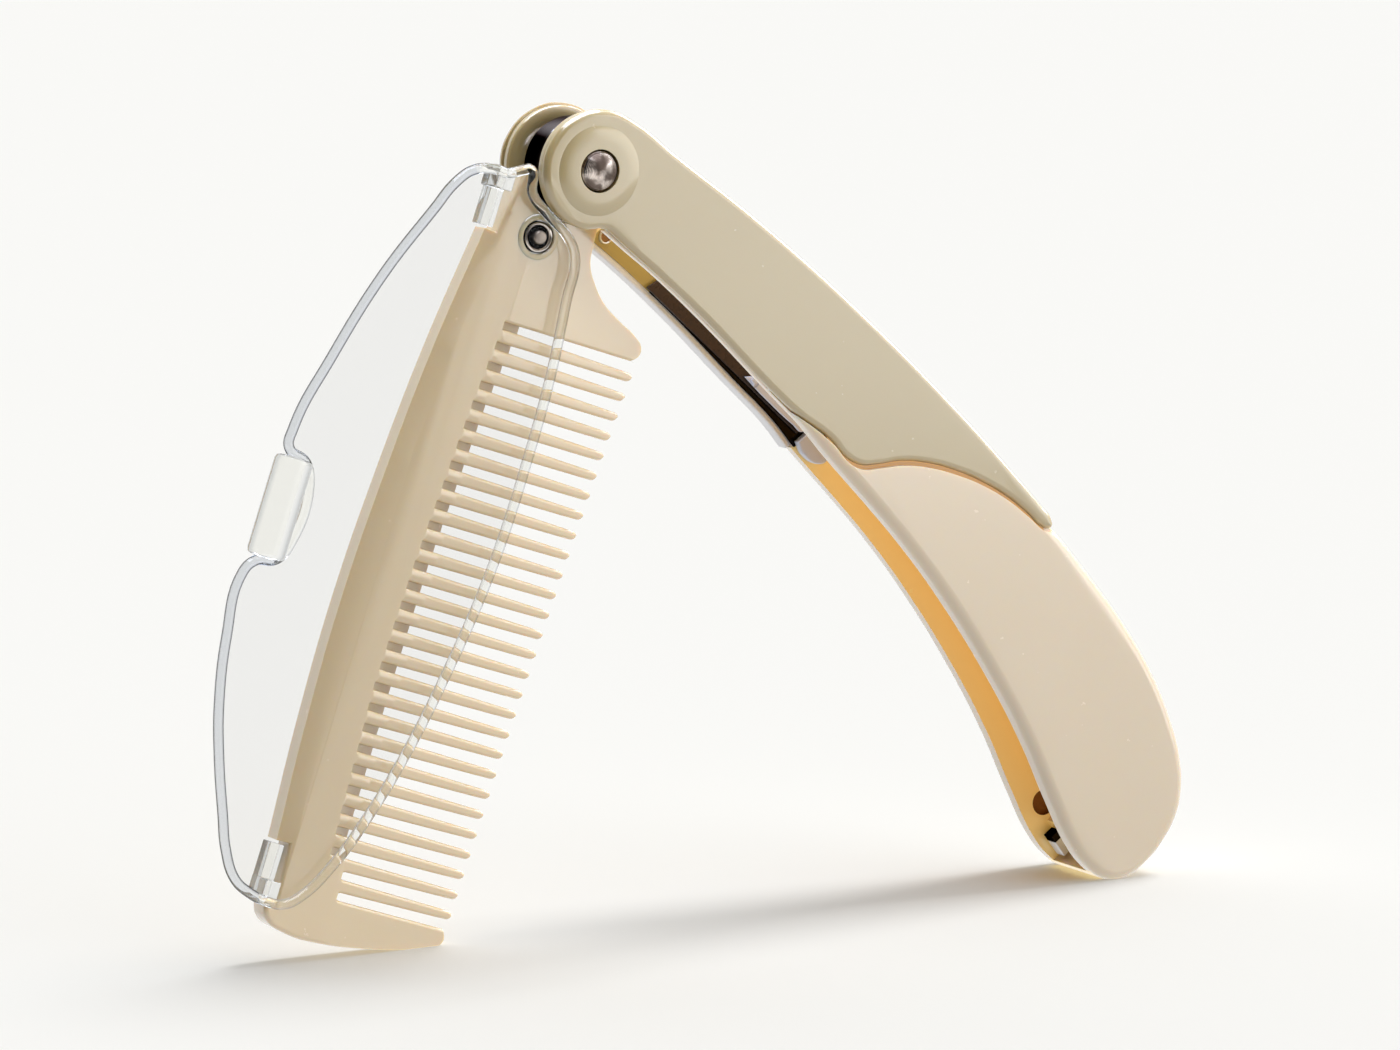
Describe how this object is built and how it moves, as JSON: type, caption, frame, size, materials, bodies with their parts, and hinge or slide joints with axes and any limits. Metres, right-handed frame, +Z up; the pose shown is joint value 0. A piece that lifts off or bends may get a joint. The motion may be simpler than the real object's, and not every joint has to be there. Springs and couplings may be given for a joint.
{
  "type": "folding comb",
  "caption": "Folding hair comb with fine teeth on a slotted handle, with steel fittings and a clear clip-on shield.",
  "frame": {"origin": "on the floor, under the middle of the overall box of the comb as it stands", "axes": "+Z up; -Y is the front, with the clear shield; +X from the comb's leg to the handle's leg; the fold axis is parallel to Y"},
  "size_m": [0.121, 0.0126, 0.091],
  "materials": {
    "cream": "moulded, soft gloss",
    "cream_cover": "moulded, soft gloss",
    "clear": "clear moulded plastic",
    "dark_steel": "dark, polished",
    "bright_steel": "polished",
    "grey_steel": "satin"
  },
  "bodies": {
    "handle": {"handle_body": "cream", "front_cover": "cream_cover", "back_cover": "cream_cover", "pivot_rivet": "bright_steel", "steel_rail": "grey_steel", "steel_plate": "dark_steel", "spring_tongue": "bright_steel", "rail_end": "grey_steel", "end_clip": "grey_steel"},
    "comb_leaf": {"comb": "cream", "comb_tang": "dark_steel", "comb_rivet": "bright_steel", "clear_guard": "clear"}
  },
  "joints": [
    {"name": "fold", "type": "hinge", "parent": "handle", "child": "comb_leaf", "pos_m": [-0.01546, 0, 0.08445], "axis": [0, -1, 0], "range_deg": [-124, 52]}
  ]
}
